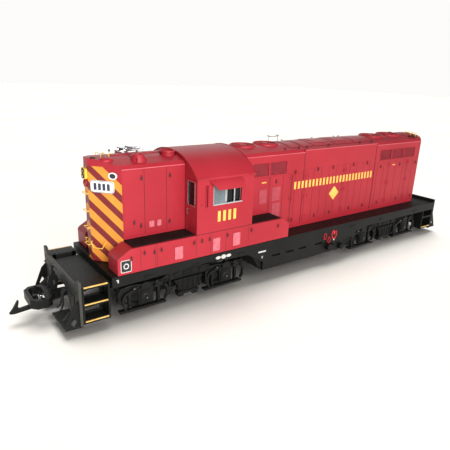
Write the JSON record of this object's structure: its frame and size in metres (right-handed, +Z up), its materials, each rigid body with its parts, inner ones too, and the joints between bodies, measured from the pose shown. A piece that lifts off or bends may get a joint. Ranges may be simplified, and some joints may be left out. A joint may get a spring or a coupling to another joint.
{
  "type": "model diesel locomotive",
  "caption": "Garden-gauge model of a hooded diesel switching locomotive on two swivelling powered trucks, with a cab, opening doors, sliding windows and hook couplers.",
  "frame": {"origin": "centre of the bounding box on the table plane, under the wheel flanges", "axes": "+X towards the short hood, +Y to the locomotive's left side, +Z up"},
  "size_m": [0.6488, 0.1192, 0.1572],
  "materials": {
    "frame_plastic": "moulded black styrene, satin",
    "tread_plastic": "black with raised non-slip pattern",
    "body_plastic": "crimson paint, semi gloss",
    "sash_metallic": "bright plated frame",
    "horn_chrome": "bright plating",
    "lamp_plastic": "yellow, semi gloss",
    "board_plastic": "white",
    "board_laminate": "green lacquered laminate",
    "ballast_iron": "plain cast",
    "truck_plastic": "moulded black nylon",
    "motor_steel": "zinc plated can",
    "worm_brass": "machined",
    "wheel_steel": "turned, treads bright",
    "coupler_plastic": "moulded black nylon"
  },
  "bodies": {
    "locomotive_body": {"main_frame": "frame_plastic", "fuel_tank": "frame_plastic", "speaker": "frame_plastic", "pilot_front": "frame_plastic", "pilot_rear": "frame_plastic", "steps_front_left": "frame_plastic", "steps_front_right": "frame_plastic", "steps_rear_left": "frame_plastic", "steps_rear_right": "frame_plastic", "short_hood": "body_plastic", "long_hood_front": "body_plastic", "long_hood_middle": "body_plastic", "long_hood_rear": "body_plastic", "cab_shell": "body_plastic", "cab_roof": "body_plastic", "awning_left": "body_plastic", "awning_right": "body_plastic", "side_box_left": "body_plastic", "side_box_right": "body_plastic", "tread_front_left": "tread_plastic", "tread_front_right": "tread_plastic", "tread_rear_left": "tread_plastic", "tread_rear_right": "tread_plastic", "roof_fan_1": "body_plastic", "roof_fan_2": "body_plastic", "roof_fan_3": "body_plastic", "roof_fan_4": "body_plastic", "exhaust_stack": "body_plastic", "horn": "horn_chrome", "headlight_front": "lamp_plastic", "headlight_rear": "lamp_plastic", "number_board_left": "board_plastic", "number_board_right": "board_plastic", "circuit_board": "board_laminate", "ballast_weight": "ballast_iron"},
    "truck_front": {"truck_front_casing": "truck_plastic", "truck_front_lid": "truck_plastic", "truck_front_frame_left": "truck_plastic", "truck_front_frame_right": "truck_plastic", "truck_front_motor": "motor_steel"},
    "truck_front_outer_axle": {"truck_front_wheelset_outer": "wheel_steel"},
    "truck_front_inner_axle": {"truck_front_wheelset_inner": "wheel_steel"},
    "truck_front_worm": {"truck_front_worm_shaft": "worm_brass"},
    "truck_rear": {"truck_rear_casing": "truck_plastic", "truck_rear_lid": "truck_plastic", "truck_rear_frame_left": "truck_plastic", "truck_rear_frame_right": "truck_plastic", "truck_rear_motor": "motor_steel"},
    "truck_rear_outer_axle": {"truck_rear_wheelset_outer": "wheel_steel"},
    "truck_rear_inner_axle": {"truck_rear_wheelset_inner": "wheel_steel"},
    "truck_rear_worm": {"truck_rear_worm_shaft": "worm_brass"},
    "coupler_front": {"coupler_front": "coupler_plastic"},
    "hook_front": {"coupler_hook_front": "coupler_plastic"},
    "coupler_rear": {"coupler_rear": "coupler_plastic"},
    "hook_rear": {"coupler_hook_rear": "coupler_plastic"},
    "door_front": {"cab_door_front": "body_plastic"},
    "door_rear": {"cab_door_rear": "body_plastic"},
    "sash_left": {"window_sash_left": "sash_metallic"},
    "sash_right": {"window_sash_right": "sash_metallic"}
  },
  "joints": [
    {"name": "truck_front_swivel", "type": "hinge", "parent": "locomotive_body", "child": "truck_front", "pos_m": [0.163, 0, 0.0453], "axis": [0, 0, 1], "range_deg": [-8, 8]},
    {"name": "truck_front_outer_axle_spin", "type": "hinge", "parent": "truck_front", "child": "truck_front_outer_axle", "pos_m": [0.2103, 0, 0.01936], "axis": [0, 1, 0], "continuous": true},
    {"name": "truck_front_inner_axle_spin", "type": "hinge", "parent": "truck_front", "child": "truck_front_inner_axle", "pos_m": [0.1157, 0, 0.01936], "axis": [0, 1, 0], "continuous": true},
    {"name": "truck_front_worm_spin", "type": "hinge", "parent": "truck_front", "child": "truck_front_worm", "pos_m": [0.163, 0, 0.02986], "axis": [1, 0, 0], "continuous": true},
    {"name": "truck_rear_swivel", "type": "hinge", "parent": "locomotive_body", "child": "truck_rear", "pos_m": [-0.163, 0, 0.0453], "axis": [0, 0, 1], "range_deg": [-8, 8]},
    {"name": "truck_rear_outer_axle_spin", "type": "hinge", "parent": "truck_rear", "child": "truck_rear_outer_axle", "pos_m": [-0.2103, 0, 0.01936], "axis": [0, 1, 0], "continuous": true},
    {"name": "truck_rear_inner_axle_spin", "type": "hinge", "parent": "truck_rear", "child": "truck_rear_inner_axle", "pos_m": [-0.1157, 0, 0.01936], "axis": [0, 1, 0], "continuous": true},
    {"name": "truck_rear_worm_spin", "type": "hinge", "parent": "truck_rear", "child": "truck_rear_worm", "pos_m": [-0.163, 0, 0.02986], "axis": [1, 0, 0], "continuous": true},
    {"name": "coupler_front_swing", "type": "hinge", "parent": "locomotive_body", "child": "coupler_front", "pos_m": [0.258, 0, 0.022], "axis": [0, 0, 1], "range_deg": [-12, 12], "stiffness_Nm_per_rad": 0.02},
    {"name": "hook_front_pivot", "type": "hinge", "parent": "coupler_front", "child": "hook_front", "pos_m": [0.301, 0, 0.023], "axis": [0, 1, 0], "range_deg": [0, 18], "stiffness_Nm_per_rad": 0.01, "springref_deg": -5.73},
    {"name": "coupler_rear_swing", "type": "hinge", "parent": "locomotive_body", "child": "coupler_rear", "pos_m": [-0.258, 0, 0.022], "axis": [0, 0, 1], "range_deg": [-12, 12], "stiffness_Nm_per_rad": 0.02},
    {"name": "hook_rear_pivot", "type": "hinge", "parent": "coupler_rear", "child": "hook_rear", "pos_m": [-0.301, 0, 0.023], "axis": [0, -1, 0], "range_deg": [0, 18], "stiffness_Nm_per_rad": 0.01, "springref_deg": -5.73},
    {"name": "door_front_hinge", "type": "hinge", "parent": "locomotive_body", "child": "door_front", "pos_m": [0.1567, 0.0491, 0.1], "axis": [0, 0, 1], "range_deg": [0, 95]},
    {"name": "door_rear_hinge", "type": "hinge", "parent": "locomotive_body", "child": "door_rear", "pos_m": [0.0874, -0.0491, 0.1], "axis": [0, 0, 1], "range_deg": [0, 95]},
    {"name": "sash_left_slide", "type": "slide", "parent": "locomotive_body", "child": "sash_left", "axis": [1, 0, 0], "range_m": [0, 0.015]},
    {"name": "sash_right_slide", "type": "slide", "parent": "locomotive_body", "child": "sash_right", "axis": [1, 0, 0], "range_m": [0, 0.015]}
  ],
  "couplings": [
    {"joint": "truck_front_inner_axle_spin", "follows": "truck_front_outer_axle_spin", "ratio": 1},
    {"joint": "truck_front_worm_spin", "follows": "truck_front_outer_axle_spin", "ratio": 14},
    {"joint": "truck_rear_inner_axle_spin", "follows": "truck_rear_outer_axle_spin", "ratio": 1},
    {"joint": "truck_rear_worm_spin", "follows": "truck_rear_outer_axle_spin", "ratio": 14}
  ]
}
